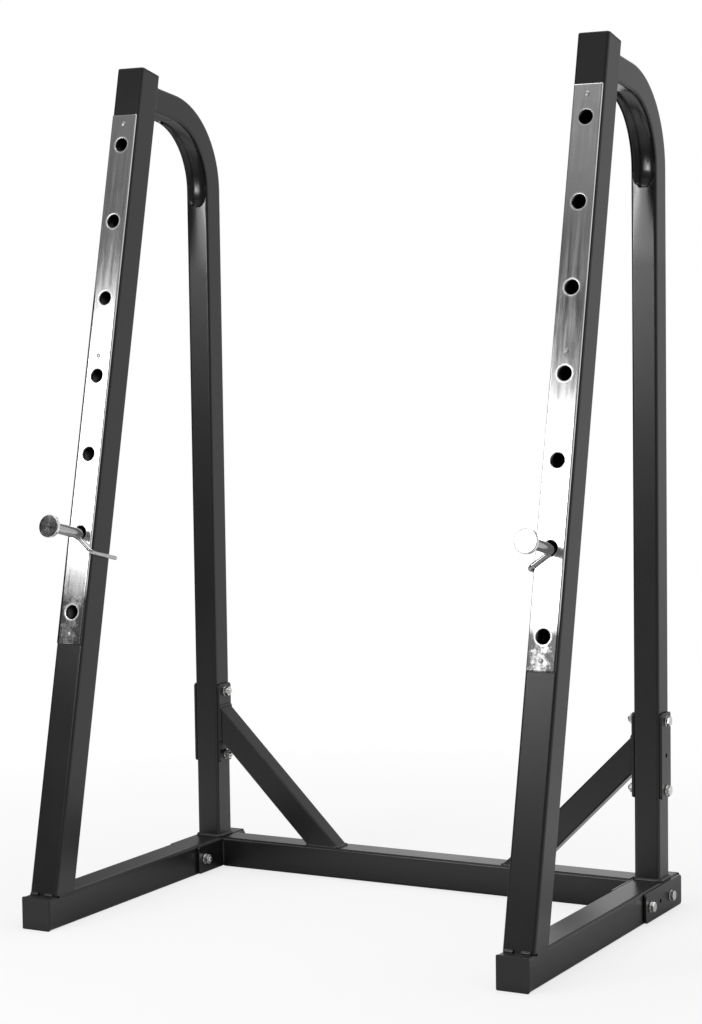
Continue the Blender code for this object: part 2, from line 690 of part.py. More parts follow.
def build_side(side, sign):
    """One side frame with its plates, fasteners, caps and bar pin."""
    side_frame = add_empty(f"{side}_side_frame", (sign * SIDE_SPACING / 2, 0, 0))
    lean_frame = add_empty(
        f"{side}_lean_frame", (0, TOP_Y, OVERALL_HEIGHT), (-LEAN, 0, 0), side_frame)
    pin_frame = add_empty(
        f"{side}_pin_axis", (0, 0, -hole_drop(PIN_HOLE) - PIN_SAG), (math.pi / 2, 0, 0), lean_frame)
    build_base_beam(f"{side}_base_beam", side_frame)
    build_front_upright(f"{side}_front_upright", lean_frame)
    build_rear_post(f"{side}_rear_post", side_frame)
    build_hole_plate(f"{side}_hole_plate", lean_frame)
    build_rivets(side, lean_frame)
    build_brackets(side, sign, side_frame)
    build_fasteners(side, sign, side_frame)
    build_brace(f"{side}_brace", sign, side_frame)
    build_caps(side, side_frame, lean_frame)
    build_bar_pin(side, pin_frame)
    build_locking_rod(side, sign, pin_frame)


clear_scene()
build_crossmember()
for side_name, side_sign in SIDES:
    build_side(side_name, side_sign)
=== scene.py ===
from math import cos, pi, radians, sin, sqrt, tan

import bmesh
import bpy
from mathutils import Matrix, Vector


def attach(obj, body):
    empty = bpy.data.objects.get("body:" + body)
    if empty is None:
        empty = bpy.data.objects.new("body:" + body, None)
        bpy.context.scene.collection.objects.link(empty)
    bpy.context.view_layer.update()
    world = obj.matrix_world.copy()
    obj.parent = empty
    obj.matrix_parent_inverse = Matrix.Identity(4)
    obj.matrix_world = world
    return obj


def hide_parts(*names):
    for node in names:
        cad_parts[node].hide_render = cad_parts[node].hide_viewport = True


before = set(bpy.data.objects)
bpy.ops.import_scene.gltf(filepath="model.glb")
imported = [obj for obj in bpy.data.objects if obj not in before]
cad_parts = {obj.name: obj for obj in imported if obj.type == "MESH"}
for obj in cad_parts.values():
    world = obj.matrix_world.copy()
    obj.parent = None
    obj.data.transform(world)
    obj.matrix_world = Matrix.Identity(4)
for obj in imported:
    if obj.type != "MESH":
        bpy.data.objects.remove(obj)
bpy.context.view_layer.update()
scene = bpy.context.scene
print("frame loaded:", len(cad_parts), "solids")

# metres; +X right seen from the front, +Y to the rear, origin on the floor
rack = {
    "spacing": 0.960,  # between the middle planes of the side frames
    "height": 1.600,  # to the front edge of the top caps
    "gap": 0.0003,  # between faces that touch
    "lean": radians(12.7),  # of the uprights
    "tube": 0.060, "wall": 0.0025, "corner": 0.006, "cornerSteps": 6,
    "beamLength": 0.685,
    "footSetback": 0.020,  # beam's front end to the upright
    "crossSetback": 0.058,  # beam's rear end to the crossmember's middle
    "rearSetback": 0.062,  # beam's rear end to the rear post's middle
    "capFlange": 0.004,
}
gap = rack["gap"]
lean = rack["lean"]
half = rack["tube"] / 2
beamRear = rack["beamLength"] / 2
beamFront = -beamRear
beamTop = rack["tube"]
topY = beamFront + rack["footSetback"] + (rack["height"] - beamTop) * tan(lean)
crossY = beamRear - rack["crossSetback"]
rearY = beamRear - rack["rearSetback"]
sideX = rack["spacing"] / 2
sides = (("left", -1), ("right", 1))


def mathNode(operation, flipped=False):
    # operator of a wire; flipped is its reflected form
    def added(wire, other):
        first, second = (other, wire) if flipped else (wire, other)
        return wire.graph.node("ShaderNodeMath", {0: first, 1: second}, operation=operation)

    return added


class Wire:
    # an output of a node, on which operators add Math nodes
    __add__ = __radd__ = mathNode("ADD")
    __sub__, __rsub__ = mathNode("SUBTRACT"), mathNode("SUBTRACT", flipped=True)
    __mul__ = __rmul__ = mathNode("MULTIPLY")
    __truediv__, __rtruediv__ = mathNode("DIVIDE"), mathNode("DIVIDE", flipped=True)
    __pow__, __rpow__ = mathNode("POWER"), mathNode("POWER", flipped=True)

    def __init__(self, graph, socket):
        self.graph, self.socket = graph, socket

    def maths(self, operation, *others):
        return self.graph.node("ShaderNodeMath", dict(enumerate((self,) + others)), operation=operation)

    def clipped(self, low=0.0, high=1.0):
        return self.maths("MAXIMUM", low).maths("MINIMUM", high)

    def ramp(self, start, reach):
        # 0 up to start, 1 from start + reach; a negative reach runs downwards
        return ((self - start) / reach).clipped()


class Graph:
    # adds nodes to a shader or geometry tree
    def __init__(self, tree):
        self.tree = tree

    def node(self, kind, inputs=None, output=0, **settings):
        made = self.tree.nodes.new(kind)
        row, column = divmod(len(self.tree.nodes), 12)
        made.location = (180 * column, -220 * row)
        for name, value in settings.items():
            setattr(made, name, value)
        for key, value in (inputs or {}).items():
            if isinstance(value, Wire):
                self.tree.links.new(value.socket, made.inputs[key])
            else:
                made.inputs[key].default_value = value
        return Wire(self, made.outputs[output]) if made.outputs else made

    def geo(self, kind, inputs=None, output=0, **settings):
        return self.node("GeometryNode" + kind, inputs, output, **settings)

    def mix(self, share, first, second):
        return self.node("ShaderNodeMix", {0: share, 6: first, 7: second}, 2, data_type="RGBA")

    def vector(self, operation, *values, output=0):
        return self.node("ShaderNodeVectorMath", dict(enumerate(values)), output, operation=operation)

    def parts(self, vector):
        split = self.node("ShaderNodeSeparateXYZ", {0: vector}).socket.node
        return [Wire(self, socket) for socket in split.outputs]

    def noise(self, where, scale, detail=2.0, rough=0.5):
        return self.node("ShaderNodeTexNoise", {
            "Vector": where, "Scale": scale, "Detail": detail, "Roughness": rough})

    def note(self, name, kind="FLOAT"):
        return self.geo("InputNamedAttribute", {"Name": name}, data_type=kind)

    def own(self):
        return self.node("ShaderNodeTexCoord", output="Object")

    def ray(self, kind):
        return self.node("ShaderNodeLightPath", output=f"Is {kind} Ray")


def grey(value, warmth=0.0):
    return (value * (1 + warmth), value, value * (1 - warmth), 1.0)


def emptyGraph(owner):
    owner.use_nodes = True
    owner.node_tree.nodes.clear()
    return Graph(owner.node_tree)


def newMaterial(name):
    material = bpy.data.materials.new(name)
    return material, emptyGraph(material)


def finishMaterial(graph, inputs, height, strength, distance):
    # in inputs a constant sits on the shader's own socket, and what varies is a link
    bump = graph.node("ShaderNodeBump", {"Height": height, "Strength": strength, "Distance": distance})
    shader = graph.node("ShaderNodeBsdfPrincipled", {**inputs, "Normal": bump})
    graph.node("ShaderNodeOutputMaterial", {"Surface": shader})


coat = {
    "dark": grey(0.0060), "light": grey(0.0100, 0.01),
    "rough": 0.31, "roughSwing": 0.08, "bendGloss": 0.12, "bendFrom": 1.20,
    "cloudScale": 7.0, "peelScale": 520.0, "grainScale": 2400.0, "speckScale": 900.0,
    "relief": 0.22, "peelHeight": 0.00022,
    # pale mix on upward faces: dust on the plain coat; the weld beads' much stronger share is a painted highlight
    "dustAndHighlight": 0.022, "dustAndHighlightTone": grey(0.42, 0.02),
    "weldRelief": 0.6, "weldPaintedHighlight": 0.14,
}


def coatMaterial(name, relief=coat["relief"], glossAbove=None, dustAndHighlight=coat["dustAndHighlight"]):
    # satin powder coat: orange peel, fine grain, slow tone changes and a pale mix on upward faces: a breath of dust
    # on the plain coat, a painted highlight on the weld beads; glossAbove is the height from which it is smoother
    material, graph = newMaterial(name)
    where = graph.own()
    cloud = graph.noise(where, coat["cloudScale"], 3.0)
    peel = graph.noise(where, coat["peelScale"], 2.0)
    grain = graph.noise(where, coat["grainScale"], 1.0)
    upward = graph.parts(graph.node("ShaderNodeNewGeometry", output="Normal"))[2].clipped()
    specks = (graph.noise(where, coat["speckScale"], 4.0, 0.7) - 0.45).clipped() * 2.2
    # pale mix on upward faces: dust, and on the weld beads a painted highlight
    dustAndHighlightShare = upward * (0.35 + cloud) * (0.4 + specks) * dustAndHighlight
    tone = graph.mix((cloud * 1.2 - 0.1).clipped(), coat["dark"], coat["light"])
    base = graph.mix(dustAndHighlightShare.clipped(), tone, coat["dustAndHighlightTone"])
    rough = coat["rough"] + (cloud - 0.5) * coat["roughSwing"] + (grain - 0.5) * 0.06 + dustAndHighlightShare * 2.0
    if glossAbove is not None:
        rough = rough - graph.parts(where)[2].ramp(glossAbove, 0.04) * coat["bendGloss"]
    finishMaterial(
        graph, {"IOR": 1.56, "Metallic": 0.0, "Base Color": base, "Roughness": rough}, peel + grain * 0.35,
        relief, coat["peelHeight"])
    return material


plating = {
    "markScale": 900.0, "cloudScale": 26.0, "rippleScale": 11.0, "shadow": 0.80,
    "bandScale": 170.0, "bandStretch": 0.045,
    "brightTone": grey(0.95), "brightFade": 0.0004,  # a disc's edge
    "haloReach": 0.0048, "haloFade": 0.004, "haloRough": 0.19,  # ring round a hole
    # painted shade: tone, mottle, fade and roughness of the dark patches, and tone and reach of the dark left rim
    "paintedShadeTone": grey(0.04), "paintedShadeScale": 85.0, "paintedShadeFade": 0.03, "paintedShadeRough": 0.12,
    "paintedRimShadeTone": grey(0.012), "paintedRimShadeInner": 0.0212, "paintedRimShadeFade": 0.0012,  # dark left rim
    "waveHeight": 0.0012,
}


def distance(across, along):
    return (across * across + along * along) ** 0.5


def bareMetal(
        name, tone, rough, roughSwing, wave, place=Matrix(), slot="chrome", streak=1.0, rings=0.0, bands=0.0,
        tilt=0.0, paintedShadeFrom=0.0, paintedRimShadeFrom=0.0, holes=None, face=0.0):
    # plated steel: lengthwise marks, cloudy gloss and slight waviness, laid out about a place. rings: turning
    # marks about Z; bands: polishing streaks along Y; tilt: how far a face's gloss leans about X; paintedShadeFrom
    # and
    # paintedRimShadeFrom: how far down Y painted shade darkens the plating in mottled patches, and its left rim;
    # holes: the first one's distance down Y, their pitch and their radius, for paler rings; face: radius past which a
    # disc is bright
    material, graph = newMaterial(name)
    own = graph.node("ShaderNodeMapping", {
        "Vector": graph.own(), "Location": place.to_translation(), "Rotation": place.to_euler()},
        vector_type="TEXTURE")
    marks = graph.noise(graph.vector("MULTIPLY", own, (1.0, streak, 1.0)), plating["markScale"], 3.0, 0.6)
    cloud = graph.noise(own, plating["cloudScale"], 4.0, 0.6)
    ripple = graph.noise(own, plating["rippleScale"], 1.0)
    across, along, _ = graph.parts(own)
    shadeShare = cloud * 1.6 - 0.3
    gloss = rough + (cloud - 0.5) * roughSwing + (marks - 0.5) * roughSwing * 0.6
    if bands:
        stretch = (1.0, plating["bandStretch"], 1.0)
        band = graph.noise(graph.vector("MULTIPLY", own, stretch), plating["bandScale"], 2.0) - 0.5
        shadeShare = shadeShare + band * bands * 9.0
        gloss = gloss + band * bands
    shade = graph.mix(shadeShare.clipped(), tone, tuple(plating["shadow"] * part for part in tone[:3]) + (1.0,))
    clean = 1.0
    if face:
        bright = distance(across, along).ramp(face, plating["brightFade"])
        shade = graph.mix(bright, shade, plating["brightTone"])
        clean = 1 - bright
    if holes:
        first, pitch, radius = holes
        beside = (along + (first - pitch / 2)).maths("FLOORED_MODULO", pitch) - pitch / 2
        halo = distance(across, beside).ramp(radius + plating["haloReach"], -plating["haloFade"])
        gloss = gloss + halo * (cloud + 0.5) * plating["haloRough"]
        clean = 1 - halo
    # painted shade: mottled dark patches from paintedShadeFrom down Y, more of them towards the sides, and rougher
    # there
    if paintedShadeFrom:
        low = along.ramp(-paintedShadeFrom, -plating["paintedShadeFade"]) * clean
        rim = (across / 0.027) ** 2
        patches = graph.noise(own, plating["paintedShadeScale"], 5.0, 0.72) + rim * 0.26
        paintedShade = low * ((patches - 0.32) * 3.2).clipped()
        shade = graph.mix(paintedShade * 0.94, shade, plating["paintedShadeTone"])
        gloss = gloss + paintedShade * plating["paintedShadeRough"]
    # painted shade along the left rim, from paintedRimShadeFrom down Y
    if paintedRimShadeFrom:
        dark = along.ramp(-paintedRimShadeFrom, -0.04) * across.ramp(-plating["paintedRimShadeInner"], -plating["paintedRimShadeFade"])
        shade = graph.mix(dark * 0.96, shade, plating["paintedRimShadeTone"])
    gloss = gloss.clipped(0.02, 1.0)
    height = ripple * wave + cloud * wave * 0.18 + marks * 0.02
    if rings:
        turns = distance(across, along) * rings
        height = height + turns.maths("SINE") * 0.03
        gloss = gloss + (turns * 0.37).maths("SINE") * 0.02
        height = height + along * tilt
    finishMaterial(
        graph, {"Metallic": 1.0, "Base Color": shade, "Roughness": gloss}, height, 0.5, plating["waveHeight"])
    return material


def plasticMaterial(name):
    material, graph = newMaterial(name)
    where = graph.own()
    grain = graph.noise(where, 1500.0, 3.0, 0.6)
    cloud = graph.noise(where, 30.0, 3.0)
    rough = 0.46 + (cloud - 0.5) * 0.12 + (grain - 0.5) * 0.10
    base = graph.mix(cloud, grey(0.015), grey(0.022))
    finishMaterial(graph, {"IOR": 1.46, "Metallic": 0.0, "Base Color": base, "Roughness": rough}, grain, 0.35, 0.0002)
    return material


blackCoat = coatMaterial("blackCoat")
postCoat = coatMaterial("postCoat", glossAbove=coat["bendFrom"])
# weld beads: their upward faces are paled by a painted highlight
weldCoat = coatMaterial("weldCoat", coat["weldRelief"], dustAndHighlight=coat["weldPaintedHighlight"])
zincPlate = bareMetal("zincPlate", grey(0.93, 0.02), 0.27, 0.14, 0.12, slot="zinc")
rivetZinc = bareMetal("rivetZinc", grey(0.55, 0.01), 0.48, 0.20, 0.5, slot="zinc")
blackPlastic = plasticMaterial("blackPlastic")
print("finishes made")


def roundedRect(width, depth, corner, steps=rack["cornerSteps"]):
    # rounded rectangle about its middle, counter-clockwise
    points = []
    for quadrant, (signA, signB) in enumerate(((1, 1), (-1, 1), (-1, -1), (1, -1))):
        a, b = signA * (width / 2 - corner), signB * (depth / 2 - corner)
        turns = [pi / 2 * (quadrant + step / steps) for step in range(steps + 1)]
        points += [(a + corner * cos(turn), b + corner * sin(turn)) for turn in turns]
    return points


def fullTurn(count):
    return [2 * pi * step / count for step in range(count)]


def circle(radius, segments):
    return [(radius * cos(turn), radius * sin(turn)) for turn in fullTurn(segments)]


def meshFrom(built):
    bmesh.ops.recalc_face_normals(built, faces=built.faces)
    mesh = bpy.data.meshes.new("shape")
    built.to_mesh(mesh)
    built.free()
    return mesh


def loft(rings, closed=False):
    # skin through rings of equal count; closed joins the last ring to the first
    built = bmesh.new()
    loops = [[built.verts.new(point) for point in ring] for ring in rings]
    count = len(loops[0])
    following = loops[1:] + (loops[:1] if closed else [])
    for low, high in zip(loops, following):
        for here in range(count):
            after = (here + 1) % count
            built.faces.new((low[here], low[after], high[after], high[here]))
    if not closed:
        built.faces.new(list(reversed(loops[0])))
        built.faces.new(loops[-1])
    return meshFrom(built)


def layered(layers):
    return loft([[(a, b, height) for a, b in outline] for outline, height in layers])


def turned(profile, segments):
    return layered([(circle(radius, segments), height) for radius, height in profile])


def quarterTurn(steps):
    return [pi / 2 * step / steps for step in range(steps + 1)]


def easedStart(edge, low, steps=4):
    # insets and heights round the edge with which a solid starts
    return [(edge * (1 - sin(a)), low + edge * (1 - cos(a))) for a in quarterTurn(steps)]


def easedEnd(edge, high, steps=4):
    return [(edge * (1 - cos(a)), high - edge + edge * sin(a)) for a in quarterTurn(steps)]


def slab(width, depth, plate):
    # plate with rounded corners and eased edges, from 0 up to its thickness
    sharpest = 0.0004
    return layered([
        (roundedRect(width - 2 * inset, depth - 2 * inset, max(plate["corner"] - inset, sharpest)), height)
        for inset, height in easedStart(plate["backEdge"], 0) + easedEnd(plate["edge"], plate["thickness"])])


def addObject(name, data):
    made = bpy.data.objects.new(name, data)
    scene.collection.objects.link(made)
    return made


def applied(piece, modifier):
    # plain mesh of what a modifier makes of a piece; the modifier is removed
    depsgraph = bpy.context.evaluated_depsgraph_get()
    mesh = bpy.data.meshes.new_from_object(piece.evaluated_get(depsgraph), depsgraph=depsgraph)
    piece.modifiers.remove(modifier)
    return mesh


def grow(group, start, values):
    # runs a tree on a start mesh and gives the plain mesh it makes
    seed = addObject("start", start)
    modifier = seed.modifiers.new("grow", "NODES")
    modifier.node_group = group
    for item in group.interface.items_tree:
        if item.in_out == "INPUT" and item.name in values:
            modifier[item.identifier] = values[item.name]
    mesh = applied(seed, modifier)
    bpy.data.objects.remove(seed)
    return mesh


helpers = []


def helper(name, mesh):
    # a shape that a tree reads, removed at the end
    made = addObject(name, mesh)
    made.hide_render = True
    helpers.append(made)
    return made


def dress(name, mesh, material, place=None, body="frame", nodes=None, smooth=35):
    # finished piece at the origin, smooth up to an angle in degrees; it replaces the nodes or that of its name
    if place is not None:
        mesh.transform(place)
    merged = bmesh.new()
    merged.from_mesh(mesh)
    bmesh.ops.remove_doubles(merged, verts=merged.verts, dist=0.000001)
    mesh = meshFrom(merged)
    mesh.materials.append(material)
    mesh.shade_smooth()
    mesh.set_sharp_from_angle(angle=radians(smooth))
    piece = addObject(name + ("_shown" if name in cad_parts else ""), mesh)
    # normals follow the large faces, so that flat faces stay flat up to their rounded edges
    modifier = piece.modifiers.new("normals", "WEIGHTED_NORMAL")
    modifier.mode, modifier.weight, modifier.keep_sharp = "FACE_AREA", 100, True
    piece.data = applied(piece, modifier)
    piece.data.name = piece.name
    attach(piece, body)
    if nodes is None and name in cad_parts:
        nodes = [name]
    if nodes:
        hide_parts(*nodes)


def sidePlane(side):
    return Matrix.Translation((side * sideX, 0, 0))


def leanFace(side):
    # upright's front face: X right, Y up the slope, Z out of the face, origin at the top
    place = Matrix.Translation((side * sideX, topY, rack["height"]))
    return place @ Matrix.Rotation(pi / 2 - lean, 4, "X")


def flank(side, facing, offset, y, z):
    # face of a side frame that looks along X: local X to the rear or front, Y up, Z out
    axes = Matrix(((0, 0, facing, 0), (facing, 0, 0, 0), (0, 1, 0, 0), (0, 0, 0, 1)))
    return Matrix.Translation((side * sideX + facing * offset, y, z)) @ axes


def newTree(name, **kinds):
    # geometry tree with named inputs; gives its graph and the inputs' wires by name
    tree = bpy.data.node_groups.new(name, "GeometryNodeTree")
    for kind, labels in {"Geometry": "Geometry", **kinds, "Material": "Material"}.items():
        for label in labels.split():
            tree.interface.new_socket(label, in_out="INPUT", socket_type="NodeSocket" + kind)
    tree.interface.new_socket("Geometry", in_out="OUTPUT", socket_type="NodeSocketGeometry")
    graph = Graph(tree)
    entry = tree.nodes.new("NodeGroupInput")
    return graph, {socket.name: Wire(graph, socket) for socket in entry.outputs if socket.name}


def finishTree(graph, geometry, given):
    realised = graph.geo("RealizeInstances", {0: geometry})
    painted = graph.geo("SetMaterial", {"Geometry": realised, "Material": given["Material"]})
    graph.node("NodeGroupOutput", {0: painted})
    return graph.tree


def drillTree():
    # cuts a row of like holes with a shaped cutter
    graph, given = newTree("drillRow", Object="cutter", Vector="firstHole step", Int="count")
    row = graph.geo("MeshLine", {
        "Count": given["count"], "Start Location": given["firstHole"], "Offset": given["step"]}, mode="OFFSET")
    cutter = graph.geo("ObjectInfo", {"Object": given["cutter"]}, "Geometry")
    drills = graph.geo("InstanceOnPoints", {"Points": row, "Instance": cutter})
    drills = graph.geo("RealizeInstances", {0: drills})
    cut = graph.geo("MeshBoolean", {0: given["Geometry"], 1: drills}, operation="DIFFERENCE", solver="EXACT")
    return finishTree(graph, cut, given)


def sweepTree():
    # round bar or weld bead along a path; ripples swell it at an even pitch
    graph, given = newTree("sweepBar", Float="radius spacing ripplePitch rippleShare", Int="around")
    path = graph.geo("MeshToCurve", {"Mesh": given["Geometry"]})
    even = graph.geo("ResampleCurve", {"Curve": path, "Length": given["spacing"]}, mode="LENGTH")
    travelled = graph.geo("SplineParameter", output="Length")
    swell = (travelled * pi / given["ripplePitch"]).maths("SINE").maths("ABSOLUTE")
    swollen = graph.geo("SetCurveRadius", {
        "Curve": even, "Radius": 1 - given["rippleShare"] + swell * given["rippleShare"]})
    section = graph.geo("CurvePrimitiveCircle", {
        "Resolution": given["around"], "Radius": given["radius"]}, mode="RADIUS")
    bar = graph.geo("CurveToMesh", {"Curve": swollen, "Profile Curve": section, "Fill Caps": True})
    return finishTree(graph, bar, given)


def bentTubeTree():
    # square tube along a path, with the bend's inner wall pressed in and the end trimmed to a plane
    graph, given = newTree(
        "bentTube", Float="size corner pressDepth pressWidth bulge bulgeWidth", Int="around",
        Vector="endPoint endNormal endHeading")
    path = graph.geo("MeshToCurve", {"Mesh": given["Geometry"]})
    level = graph.geo("SetCurveNormal", {"Curve": path, "Normal": (1, 0, 0)}, mode="FREE")
    square = graph.geo("CurvePrimitiveQuadrilateral", {
        "Width": given["size"], "Height": given["size"]}, mode="RECTANGLE")
    softened = graph.geo("FilletCurve", {"Curve": square, "Radius": given["corner"], "Count": 8}, mode="POLY")
    section = graph.geo("ResampleCurve", {"Curve": softened, "Count": given["around"]}, mode="COUNT")
    capture = graph.tree.nodes.new("GeometryNodeCaptureAttribute")
    capture.capture_items.new("VECTOR", "Across")
    graph.tree.links.new(section.socket, capture.inputs["Geometry"])
    graph.tree.links.new(graph.geo("InputPosition").socket, capture.inputs["Across"])
    tube = graph.geo("CurveToMesh", {
        "Curve": level, "Profile Curve": Wire(graph, capture.outputs["Geometry"]), "Fill Caps": True})
    sideways, outward, _ = graph.parts(Wire(graph, capture.outputs["Across"]))
    inner = (outward + given["size"] / 2).maths("LESS_THAN", 0.0004)
    share = sideways * 2 / given["pressWidth"]
    fade = graph.note("fade")
    dish = (1 - share * share - fade * fade).clipped() ** 0.55
    aside = sideways * 2 / given["bulgeWidth"]
    lift = (1 - aside * aside).clipped() * graph.note("swell") * given["bulge"]
    push = (dish * given["pressDepth"] - lift) * inner
    pushed = graph.vector("MULTIPLY", graph.note("outward", "FLOAT_VECTOR"), push)
    pressed = graph.geo("SetPosition", {"Geometry": tube, "Offset": pushed})
    away = graph.vector("SUBTRACT", given["endPoint"], graph.geo("InputPosition"))
    reach = graph.vector("DOT_PRODUCT", away, given["endNormal"], output=1)
    reach = reach / graph.vector("DOT_PRODUCT", given["endHeading"], given["endNormal"], output=1)
    last = graph.node(
        "FunctionNodeCompare", {0: graph.note("atEnd"), 1: 0.5}, data_type="FLOAT", operation="GREATER_THAN")
    trimmed = graph.geo("SetPosition", {
        "Geometry": pressed, "Selection": last, "Offset": graph.vector("MULTIPLY", given["endHeading"], reach)})
    return finishTree(graph, trimmed, given)


def fastenerTree():
    # one fastener on each point, turned to the point's facing and spun by a seeded amount
    graph, given = newTree("fasteners", Object="fastener", Int="seed")
    shape = graph.geo("ObjectInfo", {"Object": given["fastener"]}, "Geometry")
    spin = graph.node("FunctionNodeRandomValue", {2: 0.0, 3: 2 * pi, "Seed": given["seed"]}, 1, data_type="FLOAT")
    spun = graph.node("FunctionNodeAxisAngleToRotation", {"Axis": (0, 0, 1), "Angle": spin})
    facing = graph.note("facing", "FLOAT_VECTOR")
    aimed = graph.node("FunctionNodeAlignRotationToVector", {"Vector": facing}, axis="Z")
    both = graph.node("FunctionNodeRotateRotation", {"Rotation": aimed, "Rotate By": spun}, rotation_space="LOCAL")
    placed = graph.geo("InstanceOnPoints", {"Points": given["Geometry"], "Instance": shape, "Rotation": both})
    return finishTree(graph, placed, given)


drillRow = drillTree()
sweepBar = sweepTree()
bentTube = bentTubeTree()
fasteners = fastenerTree()
print("geometry trees made")


def noteOnPoints(mesh, name, values, kind="FLOAT"):
    # named attribute that a tree reads
    notes = mesh.attributes.new(name, kind, "POINT").data
    for note, value in zip(notes, values):
        setattr(note, "vector" if kind == "FLOAT_VECTOR" else "value", value)


def pathMesh(lines):
    # polylines as edges; each line is (points, closed)
    points, edges = [], []
    for line, closed in lines:
        first = len(points)
        points += [tuple(point) for point in line]
        edges += [(first + step, first + step + 1) for step in range(len(line) - 1)]
        if closed:
            edges.append((first + len(line) - 1, first))
    mesh = bpy.data.meshes.new("path")
    mesh.from_pydata(points, edges, [])
    return mesh


def drill(blank, cutter, material, first=(0, 0, 0), step=(0, 0, 0), count=1):
    return grow(drillRow, blank, {
        "cutter": cutter, "firstHole": first, "step": step, "count": count, "Material": material})


def openTube(width, depth, corner, wall, first, last):
    # hollow tube; first and last place a section point (a, b) on the two ends
    outer = roundedRect(width, depth, corner)
    inner = roundedRect(width - 2 * wall, depth - 2 * wall, corner - wall)
    ends = ((outer, first), (outer, last), (inner, last), (inner, first))
    return loft([[end(a, b) for a, b in outline] for outline, end in ends], closed=True)


mainTube = (rack["tube"], rack["tube"], rack["corner"], rack["wall"])
pinHoles = {
    "count": 7, "pitch": 0.150, "diameter": 0.026, "first": 0.1535,
    "segments": 48, "easing": 0.0017,  # rounded rim
    "pinHole": 5,  # hole that holds the pin, from 0 at the top
}
holeRadius = pinHoles["diameter"] / 2


def holeDrop(index):
    return pinHoles["first"] + index * pinHoles["pitch"]


def drillBit(name, radius, low, high, segments):
    return helper(name, turned([(radius, low), (radius, high)], segments))


def drillPinHoles(blank, cutter, material):
    return drill(blank, cutter, material, (0, -holeDrop(0), 0), (0, -pinHoles["pitch"], 0), pinHoles["count"])


def holeCutter(radius, low, high, easing, reach):
    # turned cutter whose sides flare at each face, so that the hole's rims come out rounded
    rims = easedStart(easing, low, 3) + easedEnd(easing, high, 3)
    profile = [(radius + inset, height) for inset, height in rims]
    ends = [(radius + easing + reach, height) for height in (low - reach, high + reach)]
    return turned([ends[0], *profile, ends[1]], pinHoles["segments"])


def footPoint(a, b):
    # point of the upright's section on its level foot, in the frame of its front face
    down = (rack["height"] - beamTop - gap - (half + b) * sin(lean)) / cos(lean)
    return Vector((a, -down, -half - b))


pinDrill = drillBit("pinDrill", holeRadius, -0.12, 0.04, pinHoles["segments"])


def buildUpright(name, side):
    # leaning tube, cut level on the beam and drilled for the pins
    tube = openTube(*mainTube, footPoint, lambda a, b: (a, -rack["capFlange"] - gap, -half - b))
    dress(name, drillPinHoles(tube, pinDrill, blackCoat), blackCoat, leanFace(side))


def buildBeam(name, side):
    tube = openTube(*mainTube, lambda a, b: (a, beamFront, half + b), lambda a, b: (a, beamRear, half + b))
    dress(name, tube, blackCoat, sidePlane(side))


post = {
    "size": 0.050, "corner": 0.005, "around": 132,
    "radius": 0.158,  # of the bend's centre line
    "armRise": radians(8),
    "armDrop": 0.058,  # overall height down to the arm at the upright
    "pressDepth": 0.0098, "pressWidth": 0.0440, "runOut": 0.033, "fadeAngle": 0.30,
    "bulge": 0.0019, "bulgeWidth": 0.041, "bulgeRun": 0.16,  # swelling of the wall under the pressed bend
    "bendSteps": 56, "runSteps": 26,
}
bracket = {
    "thickness": 0.005, "corner": 0.006, "edge": 0.0010, "backEdge": 0.0010,
    "locatingHole": 0.008, "locatingEasing": 0.0006, "boltHole": 0.0108,
    "upper": (0.046, 0.160), "base": (0.180, 0.056),  # the plates' widths and heights
    "upperHeight": 0.294,  # floor to the middle of the upper plates
    "upperReach": 0.065, "baseInset": 0.022,  # plate's middle, and its front end, to the bolts
}
upperHeight = bracket["upperHeight"]
plateSeat = gap + bracket["thickness"] + gap
crossHalf = sideX - half - plateSeat


def buildCrossmember(name):
    tube = openTube(
        *mainTube, lambda a, b: (-crossHalf, crossY + a, half + b), lambda a, b: (crossHalf, crossY + a, half + b))
    dress(name, tube, blackCoat)


def postPath():
    # stations of the post's centre line: point, angle turned, 0 in the pressed bend to 1 past its ends, swelling
    rise, radius, steps = post["armRise"], post["radius"], post["runSteps"]
    turn = pi / 2 - rise
    faceY = topY - post["armDrop"] * tan(lean) + rack["tube"] / cos(lean)
    middleY = rearY - radius
    endY = middleY + radius * cos(turn)
    arm = (endY - faceY) / cos(rise)
    endZ = rack["height"] - post["armDrop"] - arm * sin(rise)
    middleZ = endZ - radius * sin(turn)
    stations = [((0, rearY, beamTop + gap), 0.0, 1.0, 0.0)]
    rim = middleZ - post["runOut"]
    shares = [step / steps for step in range(steps)]
    stations += [((0, rearY, rim - post["bulgeRun"] * (1 - share)), 0.0, 1.0, share * share) for share in shares]
    stations += [((0, rearY, middleZ - post["runOut"] * fade), 0.0, fade, fade) for fade in [1 - s for s in shares]]
    for step in range(post["bendSteps"] + 1):
        angle = turn * step / post["bendSteps"]
        fade = max(0.0, (angle - turn + post["fadeAngle"]) / post["fadeAngle"]) ** 1.5
        stations.append(((0, middleY + radius * cos(angle), middleZ + radius * sin(angle)), angle, fade, 0.0))
    short = 0.9 * arm  # the tree trims the last station to the upright
    stations.append(((0, endY - short * cos(rise), endZ + short * sin(rise)), turn, 1.0, 0.0))
    return stations


def armEnd():
    # in a side frame's plane: a point of the upright's rear face, its normal, the arm's heading and upper side
    normal = Vector((0, -cos(lean), sin(lean)))
    point = Vector((0, topY, rack["height"])) - normal * (rack["tube"] + gap)
    heading = Vector((0, -cos(post["armRise"]), sin(post["armRise"])))
    return point, normal, heading, Vector((0, heading.z, -heading.y))


